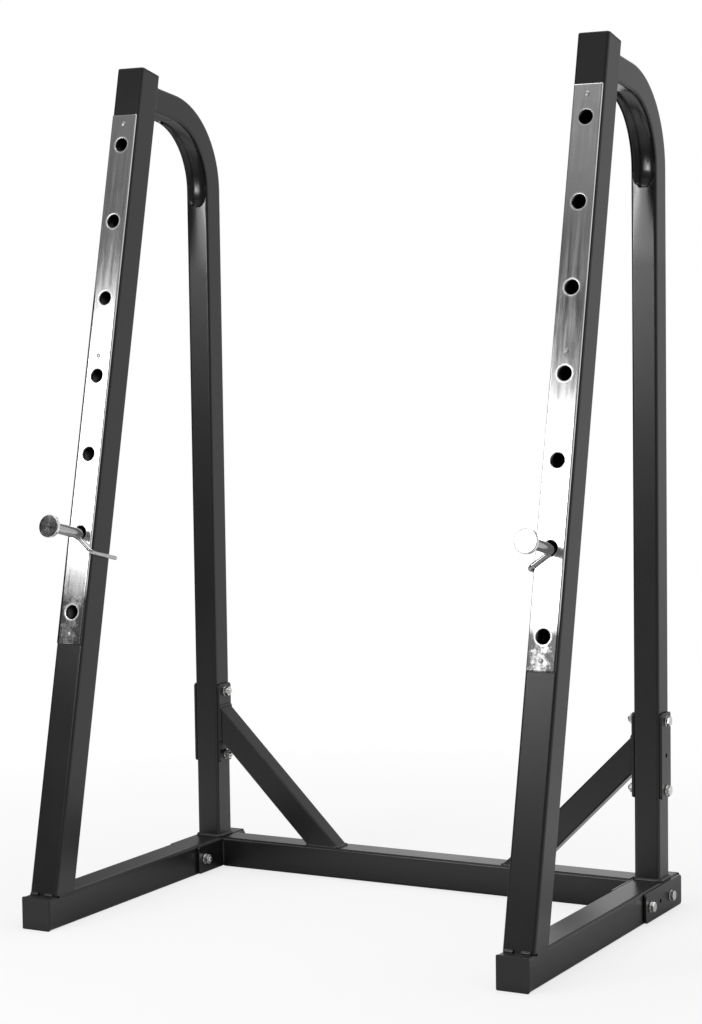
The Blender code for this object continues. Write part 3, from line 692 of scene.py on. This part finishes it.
def buildPost(name, side):
    stations = postPath()
    points, angles, fades, swells = zip(*stations)
    mesh = pathMesh([(points, False)])
    noteOnPoints(mesh, "fade", fades)
    noteOnPoints(mesh, "swell", swells)
    noteOnPoints(mesh, "atEnd", [0.0] * (len(stations) - 1) + [1.0])
    noteOnPoints(mesh, "outward", [(0, cos(angle), sin(angle)) for angle in angles], "FLOAT_VECTOR")
    point, normal, heading, _ = armEnd()
    tube = grow(bentTube, mesh, {
        **post, "endPoint": point, "endNormal": normal, "endHeading": heading, "Material": postCoat})
    dress(name, tube, postCoat, sidePlane(side), smooth=40)


bracePiece = {"section": (0.050, 0.040, 0.004, 0.002), "slope": radians(45)}


def bracePoint(a, b, end):
    # point of the brace's section carried to the end at the plate or at the crossmember's top
    slope = bracePiece["slope"]
    face = post["size"] / 2 + plateSeat
    down = Vector((-cos(slope), 0, -sin(slope)))
    across = Vector((down.z, 0, -down.x))
    point = Vector((-face, rearY, upperHeight)) + across * a + Vector((0, b, 0))
    if end == "plate":
        return point + down * ((-face - point.x) / down.x)
    return point + down * ((beamTop + gap - point.z) / down.z)


def inward(side):
    # side frame's plane with X turned towards the other one
    return sidePlane(side) @ Matrix.Diagonal((side, 1, 1, 1))


def buildBrace(name, side):
    tube = openTube(
        *bracePiece["section"], lambda a, b: bracePoint(a, b, "plate"), lambda a, b: bracePoint(a, b, "cross"))
    dress(name, tube, blackCoat, inward(side))


buildCrossmember("crossmember")
for hand, side in sides:
    buildUpright(f"{hand}_front_upright", side)
    buildBeam(f"{hand}_base_beam", side)
    buildPost(f"{hand}_rear_post", side)
    buildBrace(f"{hand}_brace", side)
print("tubes made")

facePlate = {
    "width": 0.054, "thickness": 0.004, "endMargin": 0.060, "corner": 0.002, "edge": 0.0029, "backEdge": 0.0003,
    "rivetEnd": 0.019, "rivetAboveMiddle": 0.0385,
    "finish": (grey(0.80), 0.16, 0.10, 0.06), "streak": 0.012, "bands": 0.22,
    # painted shade: mottled dark patches from these distances down each plate, and a dark left rim on the left plate
    "left": {"paintedShadeFrom": 1.0, "paintedRimShadeFrom": 0.42}, "right": {"paintedShadeFrom": 1.022},
}
plateTop = pinHoles["first"] - facePlate["endMargin"]
plateLength = (pinHoles["count"] - 1) * pinHoles["pitch"] + 2 * facePlate["endMargin"]
plateFront = gap + facePlate["thickness"]
plateCutter = helper("plateCutter", holeCutter(holeRadius, gap, plateFront, pinHoles["easing"], 0.02))


def buildFacePlate(hand, side):
    # chromed wear plate with eased edges and rounded hole rims
    name = f"{hand}_hole_plate"
    blank = slab(facePlate["width"], plateLength, facePlate)
    blank.transform(Matrix.Translation((0, -plateTop - plateLength / 2, gap)))
    chromed = bareMetal(
        name + "_chrome", *facePlate["finish"], leanFace(side), streak=facePlate["streak"],
        bands=facePlate["bands"], holes=(holeDrop(0), pinHoles["pitch"], holeRadius), **facePlate[hand])
    dress(name, drillPinHoles(blank, plateCutter, chromed), chromed, leanFace(side), smooth=30)


bracketSets = (  # kind, its seat from the frame's middle plane, the plates' middle, and the bolts
    ("upper", post["size"] / 2, (rearY, upperHeight), (
        ("top", rearY, upperHeight + bracket["upperReach"]),
        ("bottom", rearY, upperHeight - bracket["upperReach"]))),
    ("base", half, (beamRear - bracket["base"][0] / 2, half), (
        ("front", beamRear - bracket["base"][0] + bracket["baseInset"], half), ("rear", crossY, half))))
boltDrill = drillBit("boltDrill", bracket["boltHole"] / 2, -0.02, 0.02, 32)
locatingDrill = helper("locatingDrill", holeCutter(
    bracket["locatingHole"] / 2, 0.0, bracket["thickness"], bracket["locatingEasing"], 0.01))


def buildBrackets(hand, side):
    for label, facing in (("inner", -side), ("outer", side)):
        for kind, offset, (y, z), bolts in bracketSets:
            plate = slab(*bracket[kind], bracket)
            first, second = [((boltY - y) * facing, boltZ - z, 0) for _, boltY, boltZ in bolts]
            step = tuple(b - a for a, b in zip(first, second))
            plate = drill(plate, boltDrill, blackCoat, first, step, 2)
            if label == "outer":
                middle = tuple((a + b) / 2 for a, b in zip(first, second))
                plate = drill(plate, locatingDrill, blackCoat, middle)
            dress(f"{hand}_{kind}_{label}_plate", plate, blackCoat, flank(side, facing, offset + gap, y, z))


fixing = {
    "bolt": 0.010, "acrossFlats": 0.017, "head": 0.0065, "nut": 0.0084, "washer": 0.020,
    "washerThickness": 0.002, "washerEdge": 0.0004, "tip": 0.004, "segments": 48,
    "crown": 0.93, "chamferSlope": tan(radians(30)),  # turned-down corners of head and nut
    "pitch": 0.0015, "threadDepth": 0.0007, "nutPlay": 0.0004,
}


def flatRing(radius, height):
    return [(a, b, height) for a, b in circle(radius, fixing["segments"])]


def hexLayers(height):
    # hexagon on the washer whose far edge is turned down to a circle, as on a machined head
    flat = fixing["acrossFlats"] / 2
    low, high = fixing["washerThickness"], fixing["washerThickness"] + height
    turns = fullTurn(fixing["segments"])
    reach = [flat / cos((turn % (pi / 3)) - pi / 6) for turn in turns]
    outline = [(r * cos(t), r * sin(t)) for r, t in zip(reach, turns)]
    crown = flat * fixing["crown"]
    shoulder = [(a, b, high - (r - crown) * fixing["chamferSlope"]) for (a, b), r in zip(outline, reach)]
    return [[(a, b, low) for a, b in outline], shoulder, flatRing(crown, high)]


def washerRings(bore):
    radius, thickness, edge = fixing["washer"] / 2, fixing["washerThickness"], fixing["washerEdge"]
    return [
        flatRing(bore, 0), flatRing(radius - edge, 0), flatRing(radius, edge), flatRing(radius, thickness - edge),
        flatRing(radius - edge, thickness)]


def boltShape(grip):
    # bolt with its washer; 0 is the washer's seat and Z leaves the head
    shank = fixing["bolt"] / 2
    end = -(grip + fixing["washerThickness"] + fixing["nut"] + fixing["tip"])
    rings = [flatRing(shank - 0.0012, end), flatRing(shank - 0.0002, end + 0.0008)]
    height = end + 0.0012
    while height < end + fixing["tip"] + 0.002:
        rings.append(flatRing(shank, height))
        rings.append(flatRing(shank - fixing["threadDepth"], height + fixing["pitch"] / 2))
        height += fixing["pitch"]
    return loft([*rings, flatRing(shank, height), *washerRings(shank), *hexLayers(fixing["head"])])


def nutShape():
    bore = fixing["bolt"] / 2 + fixing["nutPlay"]
    top = fixing["washerThickness"] + fixing["nut"]
    mouth = [flatRing(bore + 0.0008, top), flatRing(bore, top - 0.0008)]
    return loft(washerRings(bore) + hexLayers(fixing["nut"]) + mouth, closed=True)


rivet = {"diameter": 0.005, "head": 0.009, "height": 0.0018, "rim": 0.0003, "tail": 0.004, "segments": 28}
rivetDrops = {
    "upper": plateTop + facePlate["rivetEnd"],
    "middle": holeDrop(pinHoles["count"] // 2) - facePlate["rivetAboveMiddle"],
    "lower": plateTop + plateLength - facePlate["rivetEnd"]}


def rivetShape():
    shank, head, rim = rivet["diameter"] / 2, rivet["head"] / 2, rivet["rim"]
    profile = [(shank, -facePlate["thickness"] - 2 * gap - rack["wall"] - rivet["tail"])]
    profile += [(shank, 0), (head * 0.97, 0), (head, 0.0002)]
    profile += [(head * cos(a), rim + (rivet["height"] - rim) * sin(a)) for a in quarterTurn(6)[:-1]]
    return turned(profile + [(head * 0.10, rivet["height"])], rivet["segments"])


rivetModel = helper("rivetModel", rivetShape())


def fasten(name, model, places, seed, material, nodes, smooth):
    # one model on each place, which is a point and the direction that the fastener faces
    points = pathMesh([([point], False) for point, _ in places])
    noteOnPoints(points, "facing", [facing for _, facing in places], "FLOAT_VECTOR")
    group = grow(fasteners, points, {"fastener": model, "seed": seed, "Material": material})
    dress(name, group, material, nodes=nodes, smooth=smooth)


def buildFasteners(hand, side):
    for kind, offset, _, bolts in bracketSets:
        seat, name = offset + plateSeat, f"{hand}_{kind}_bracket"
        for part, facing, shape in (("bolt", side, boltShape(2 * seat)), ("nut", -side, nutShape())):
            model, seed = helper(f"{kind}_{part}", shape), len(kind + "_bracket") + side + len(part)
            places = [((side * sideX + facing * seat, y, z), (facing, 0, 0)) for _, y, z in bolts]
            nodes = [f"{name}_{label}_{part}" for label, _, _ in bolts]
            fasten(f"{name}_{part}s", model, places, seed, zincPlate, nodes, 30)
    face = leanFace(side)
    out = face.to_3x3() @ Vector((0, 0, 1))
    places = [(face @ Vector((0, -drop, plateFront + gap)), out) for drop in rivetDrops.values()]
    nodes = [f"{hand}_{label}_plate_rivet" for label in rivetDrops]
    fasten(f"{hand}_plate_rivets", rivetModel, places, 3, rivetZinc, nodes, 40)


for hand, side in sides:
    buildFacePlate(hand, side)
    buildBrackets(hand, side)
    buildFasteners(hand, side)
print("plates and fasteners made")

cap = {
    "plug": 0.018, "wall": 0.003, "hollowCorner": 0.0018,
    "foot": (0.0028, 0.0011), "top": (rack["corner"], 0.0018),  # corner and rounding of the flange
    "dish": 0.0005, "dishFrom": 0.007, "dishTo": 0.009,
}


def capMesh(corner, edge):
    # plug in the tube's end under a flange with a rounded rim and a slightly dished face
    size, top = rack["tube"], rack["capFlange"]
    inside = size - 2 * rack["wall"] - 2 * gap
    hollow = inside - 2 * cap["wall"]
    plugCorner = rack["corner"] - rack["wall"]
    squares = [
        (hollow, cap["hollowCorner"], -gap), (hollow, cap["hollowCorner"], -cap["plug"]),
        (inside, plugCorner, -cap["plug"]), (inside, plugCorner, 0),
        (size - 0.0006, corner - 0.0003, 0), (size, corner, 0.0003)]
    squares += [(size - 2 * inset, corner - inset, height) for inset, height in easedEnd(edge, top, 5)]
    squares += [(size - 2 * cap["dishFrom"], 0.003, top), (size - 2 * cap["dishTo"], 0.003, top - cap["dish"])]
    return layered([(roundedRect(width, width, bend), height) for width, bend, height in squares])


capSeats = (  # label, frame and place of the tube's end, quarter turns about X, flange
    ("base_front_cap", sidePlane, (0, beamFront - gap, half), 1, cap["foot"]),
    ("base_rear_cap", sidePlane, (0, beamRear + gap, half), -1, cap["foot"]),
    ("upright_top_cap", leanFace, (0, -rack["capFlange"], -half), -1, cap["top"]))
for hand, side in sides:
    for label, plane, seat, turns, flange in capSeats:
        place = plane(side) @ Matrix.Translation(seat) @ Matrix.Rotation(turns * pi / 2, 4, "X")
        dress(f"{hand}_{label}", capMesh(*flange), blackPlastic, place)
print("caps made")

barPin = {
    "diameter": 0.020, "reach": 0.106, "tail": 0.010, "chamfer": 0.002, "segments": 64,
    "disc": 0.0425, "discThickness": 0.008, "discEdge": 0.0014, "brightEdge": 0.0009,
    "barFinish": (grey(0.62), 0.16, 0.12, 0.10), "discFinish": (grey(0.60), 0.15, 0.16, 1.1), "turning": 5200.0,
    # how far each disc's gloss leans down; the left one's face is darkened all over by painted shade
    "left": {"tilt": 220.0, "paintedShadeFrom": -1.0}, "right": {"tilt": 40.0},
}
pinRadius = barPin["diameter"] / 2
pinSag = holeRadius * cos(pi / 16) - pinRadius - gap
rod = {
    "drop": 0.0345, "slope": radians(38.5), "bend": 0.010, "tail": 0.011, "bendSteps": 14,
    # the right rod's darker tone is painted shade: both rods are the same chrome
    "left": (grey(0.66), 0.14, 0.10, 0.10), "right": (grey(0.46), 0.14, 0.10, 0.10),
    "bar": {"radius": 0.004, "around": 28, "spacing": 0.0011, "ripplePitch": 1.0, "rippleShare": 0.0},
    "weld": {"radius": 0.0016, "around": 12, "spacing": 0.0006, "ripplePitch": 0.0022, "rippleShare": 0.22},
}
rodRadius = rod["bar"]["radius"]


def pinPlace(side):
    return leanFace(side) @ Matrix.Translation((0, -holeDrop(pinHoles["pinHole"]) - pinSag, 0))


def buildPin(hand, side):
    # turned bar with a chamfered tail, and the disc on its outer end
    place, body = pinPlace(side), f"{hand}_pin"
    tail = -rack["tube"] - barPin["tail"]
    front = barPin["reach"]
    back = front - barPin["discThickness"]
    chamfer, edge, rim = barPin["chamfer"], barPin["discEdge"], barPin["disc"] / 2
    bar = [
        (pinRadius - chamfer, tail), (pinRadius - 0.0002, tail + chamfer - 0.0002),
        (pinRadius, tail + chamfer + 0.0002), (pinRadius, back - gap)]
    name = f"{hand}_bar_pin"
    metal = bareMetal(name + "_chrome", *barPin["barFinish"], place)
    dress(name, turned(bar, barPin["segments"]), metal, place, body)
    disc = [(rim - inset, height) for inset, height in easedStart(edge, back) + easedEnd(edge, front)]
    disc += [(rim - 0.0032, front), (rim - 0.0036, front - 0.0004), (0.002, front - 0.0004)]
    name = f"{hand}_pin_end_disc"
    metal = bareMetal(
        name + "_chrome", *barPin["discFinish"], place, rings=barPin["turning"], face=rim - barPin["brightEdge"],
        **barPin[hand])
    dress(name, turned(disc, barPin["segments"]), metal, place, body)


def rodPath(facing):
    corner = Vector((facing * (half + gap + rodRadius), -rod["drop"], plateFront + gap + rodRadius))
    into = Vector((facing * cos(rod["slope"]), -sin(rod["slope"]), 0))
    back = Vector((0, 0, -1))
    path = [corner - into * corner.dot(into)]
    middle = corner - into * rod["bend"] + back * rod["bend"]
    path += [middle + (into * sin(a) - back * cos(a)) * rod["bend"] for a in quarterTurn(rod["bendSteps"])]
    return path + [Vector((corner.x, corner.y, -rack["tube"] - rod["tail"]))], into


def weldRing(start, into, steps=40):
    # line on which the rod leaves the pin's surface
    level = Vector((0, 0, 1))
    across = into.cross(level)
    ring = []
    for turn in fullTurn(steps):
        point = start + (across * cos(turn) + level * sin(turn)) * (rodRadius + 0.0002)
        flat = Vector((point.x, point.y, 0))
        along = flat.dot(into)
        seat = (pinRadius + 0.0004) ** 2
        ring.append(point + into * (-along + sqrt(max(0.0, along * along - flat.length_squared + seat))))
    return ring


def buildRod(hand, side):
    # bent rod under the pin, cut to the pin's surface and welded there
    place, body = pinPlace(side), f"{hand}_rod"
    path, into = rodPath(-side)
    # the right rod's tone carries painted shade
    metal = bareMetal(f"{hand}_rod_chrome", *rod[hand], place)
    bar = grow(sweepBar, pathMesh([(path, False)]), {**rod["bar"], "Material": metal})
    dress(f"{hand}_locking_rod", drill(bar, rodSeat, metal), metal, place, body)
    bead = grow(sweepBar, pathMesh([(weldRing(path[0], into), True)]), {**rod["weld"], "Material": metal})
    dress(f"{hand}_rod_weld", bead, metal, place, body)


rodSeat = drillBit("rodSeat", pinRadius + gap, -0.1, 0.1, barPin["segments"])
for hand, side in sides:
    buildPin(hand, side)
    buildRod(hand, side)
print("pins and rods made")

weld = {
    "around": 12, "spacing": 0.0009, "ripplePitch": 0.0046,
    "joints": {"radius": 0.0032, "rippleShare": 0.20}, "feet": {"radius": 0.0048, "rippleShare": 0.05},
    "footRuns": ((-0.0250, -0.0085), (0.0070, 0.0235)), "rearRun": (-0.024, 0.024),
    "flankRun": (-0.022, 0.022), "flankSunk": 0.0016, "crossRun": (0.0075, 0.0525),
}
postSection = (post["size"], post["size"], post["corner"])


def tubeLoop(section, place):
    # closed line round a tube's end; place puts a section point on the joint
    return [Vector(place(a, b)) for a, b in roundedRect(*section, 5)], True


def sideWelds(side):
    # lines of weld of one side frame, in the rack's frame
    plane, face, mirrored = sidePlane(side), leanFace(side), inward(side)
    sunk = weld["flankSunk"]
    lines = [([face @ footPoint(a, half) for a in weld["rearRun"]], False)]
    for a in (sunk - half, half - sunk):
        lines.append(([face @ footPoint(a, b) - Vector((0, 0, sunk)) for b in weld["flankRun"]], False))
    point, normal, heading, above = armEnd()
    station = Vector(postPath()[-1][0])

    def onFace(a, b):
        start = station + Vector((a, 0, 0)) + above * b
        return plane @ (start + heading * ((point - start).dot(normal) / heading.dot(normal)))

    lines.append(tubeLoop(postSection, onFace))
    for end in ("plate", "cross"):
        lines.append(tubeLoop(bracePiece["section"][:3], lambda a, b: mirrored @ bracePoint(a, b, end)))
    for y in (crossY - half, crossY + half):
        lines.append(([Vector((side * crossHalf, y, z)) for z in weld["crossRun"]], False))
    return lines


def footWelds(side):
    # two short heavy beads in front of the upright's foot, and one round the post's
    plane, face = sidePlane(side), leanFace(side)
    lines = [([face @ footPoint(a, -half) for a in run], False) for run in weld["footRuns"]]
    return lines + [tubeLoop(postSection, lambda a, b: plane @ Vector((a, rearY + b, beamTop + gap)))]


for hand, side in sides:
    for label, lines, size in (("welds", sideWelds(side), "joints"), ("foot_welds", footWelds(side), "feet")):
        beads = grow(sweepBar, pathMesh(lines), {**weld, **weld[size], "Material": weldCoat})
        dress(f"{hand}_{label}", beads, weldCoat, smooth=60)
print("welds made")

for spare in helpers:
    bpy.data.objects.remove(spare)

paper = {
    "lit": 0.42,  # what lights the rack
    # near: a painted shadow that gloss sees beside the tubes, and the same darker tone in front
    "near": 0.55, "far": 0.95,  # what gloss sees of it
    "shown": 0.90, "white": 0.72,  # near the rack, with the share of plain white in it
    "shadowReach": 0.7, "shadowFade": 1.2, "halfSize": 2.6, "drop": 0.0002,
}


def buildFloor():
    # paper that gloss sees darker beside the tubes, a painted shadow, and darker in front
    built = bmesh.new()
    bmesh.ops.create_grid(built, x_segments=1, y_segments=1, size=paper["halfSize"])
    mesh = meshFrom(built)
    mesh.transform(Matrix.Translation((0, 0, -paper["drop"])))
    material, graph = newMaterial("studioFloor")
    where, seen = graph.own(), graph.ray("Camera")
    lit = graph.mix(graph.noise(where, 3.0), grey(paper["lit"]), grey(paper["lit"] + 0.02))
    x, y, _ = graph.parts(where)
    fromBeam = (x.maths("ABSOLUTE") - sideX).maths("ABSOLUTE")
    fromTube = fromBeam.maths("MINIMUM", (y - crossY).maths("ABSOLUTE"))
    # painted shadow beside the beams and the crossmember, seen only by gloss; the line after darkens the floor in
    # front
    beside = fromTube.ramp(0.20, -0.10) * y.ramp(-0.38, 0.1) * y.ramp(0.7, -0.1)
    beside = beside.maths("MAXIMUM", y.ramp(-0.45, -0.3))
    mirrored = graph.mix(beside, grey(paper["far"]), grey(paper["near"]))
    tone = graph.mix(seen, graph.mix(graph.ray("Glossy"), lit, mirrored), grey(paper["shown"]))
    far = graph.vector("LENGTH", where, output=1).ramp(paper["shadowReach"], paper["shadowFade"])
    share = seen * (paper["white"] + far * (1 - paper["white"]))
    plain = graph.node("ShaderNodeBsdfDiffuse", {"Color": tone, "Roughness": 0.0})
    white = graph.node("ShaderNodeEmission", {"Color": grey(1.0), "Strength": 1.0})
    graph.node("ShaderNodeOutputMaterial", {
        "Surface": graph.node("ShaderNodeMixShader", {0: share, 1: plain, 2: white})})
    mesh.materials.append(material)
    addObject("floor", mesh)


sky = {
    "plain": 0.42,  # light on the rack
    "low": 0.18, "bright": 0.47, "rear": 0.62, "high": 0.24,  # what gloss sees
    "flagged": 0.09, "front": 0.22,  # dark flags on the left and beside the camera
    "corner": 0.35,  # bright strip on the right
    "band": 0.16,  # how much darker the band is that the plates' upper halves see
}


def buildSky():
    # white to the camera; gloss sees it bright to the rear right and dim in front
    world = bpy.data.worlds.new("studioSky")
    graph = emptyGraph(world)
    x, y, z = graph.parts(graph.node("ShaderNodeTexCoord", output="Generated"))
    ahead, low = y.ramp(0.0, -0.3), z.ramp(0.62, -0.15)
    behind = (x + y * 0.62).ramp(-0.04, 0.13) * y.ramp(-0.1, 0.3)
    above = z.ramp(0.44, 0.03) * ahead
    leftFlag = x.ramp(-0.50, -0.30)
    frontFlag = x.ramp(-0.22, 0.15) * (1 - behind)
    band = z.ramp(0.445, -0.02) * z.ramp(0.36, 0.03) * x.ramp(-0.62, 0.2) * x.ramp(-0.15, -0.1) * ahead
    strip = x.ramp(0.68, 0.15) * y.ramp(-0.5, 0.3) * low
    backdrop = behind * low * (sky["bright"] + x.ramp(-0.20, -0.22) * sky["rear"])
    mirrored = sky["low"] + backdrop + above * sky["high"] - band * sky["band"]
    mirrored = mirrored + leftFlag * (sky["flagged"] - mirrored)
    mirrored = mirrored + frontFlag * (sky["front"] - mirrored) + strip * sky["corner"]
    strength = sky["plain"] + graph.ray("Glossy") * (mirrored - sky["plain"])
    strength = strength + graph.ray("Camera") * (1.0 - strength)
    background = graph.node("ShaderNodeBackground", {"Color": grey(1.0), "Strength": strength})
    graph.node("ShaderNodeOutputWorld", {"Surface": background})
    scene.world = world


lamps = {  # place, what it is aimed at, width, height, watts, roll in degrees
    "softboxFront": ((-0.94, -2.01, 1.517), (0.14, -0.19, 1.517), 1.66, 0.576, 13.4, 4.6),
    "softboxCore": ((-0.98, -1.94, 1.535), (0.08, -0.15, 1.535), 0.5, 0.46, 6.0, 4.6),
    "softboxWing": ((-1.39, -1.74, 1.80), (-0.31, 0.08, 1.80), 0.55, 0.18, 1.4, 0.0),
    "softboxLow": ((-0.56, -2.22, 1.10), (0.5, -0.3, 1.10), 0.70, 0.27, 2.0, 0.0),
    "softboxTop": ((0.3, 0.4, 3.6), (0, 0, 0.5), 3.0, 3.0, 60, 0.0),
}
buildFloor()
buildSky()
for name, (place, target, width, height, watts, roll) in lamps.items():
    lamp = bpy.data.lights.new(name, "AREA")
    lamp.shape, lamp.size, lamp.size_y, lamp.energy = "RECTANGLE", width, height, watts
    aim = (Vector(target) - Vector(place)).to_track_quat("-Z", "Y").to_matrix()
    softbox = addObject(name, lamp)
    softbox.location = place
    softbox.rotation_euler = (aim @ Matrix.Rotation(radians(roll), 3, "Z")).to_euler()
    softbox.visible_camera = False
print("studio made")

view = {
    "place": (2.0976, -3.8548, 1.0810), "yaw": 28.525, "pitch": -4.230, "roll": -0.806,  # degrees
    "lens": 83.90, "sensor": 36.0, "farthest": 60.0,
}
camera = addObject("camera", bpy.data.cameras.new("camera"))
camera.data.lens, camera.data.sensor_width, camera.data.clip_end = view["lens"], view["sensor"], view["farthest"]
yaw, pitch, roll = [radians(view[key]) for key in ("yaw", "pitch", "roll")]
turn = Matrix.Rotation(yaw, 4, "Z") @ Matrix.Rotation(pi / 2 + pitch, 4, "X") @ Matrix.Rotation(roll, 4, "Z")
camera.matrix_world = Matrix.Translation(view["place"]) @ turn
scene.camera = camera
scene.view_settings.view_transform = "Standard"
print("camera placed")
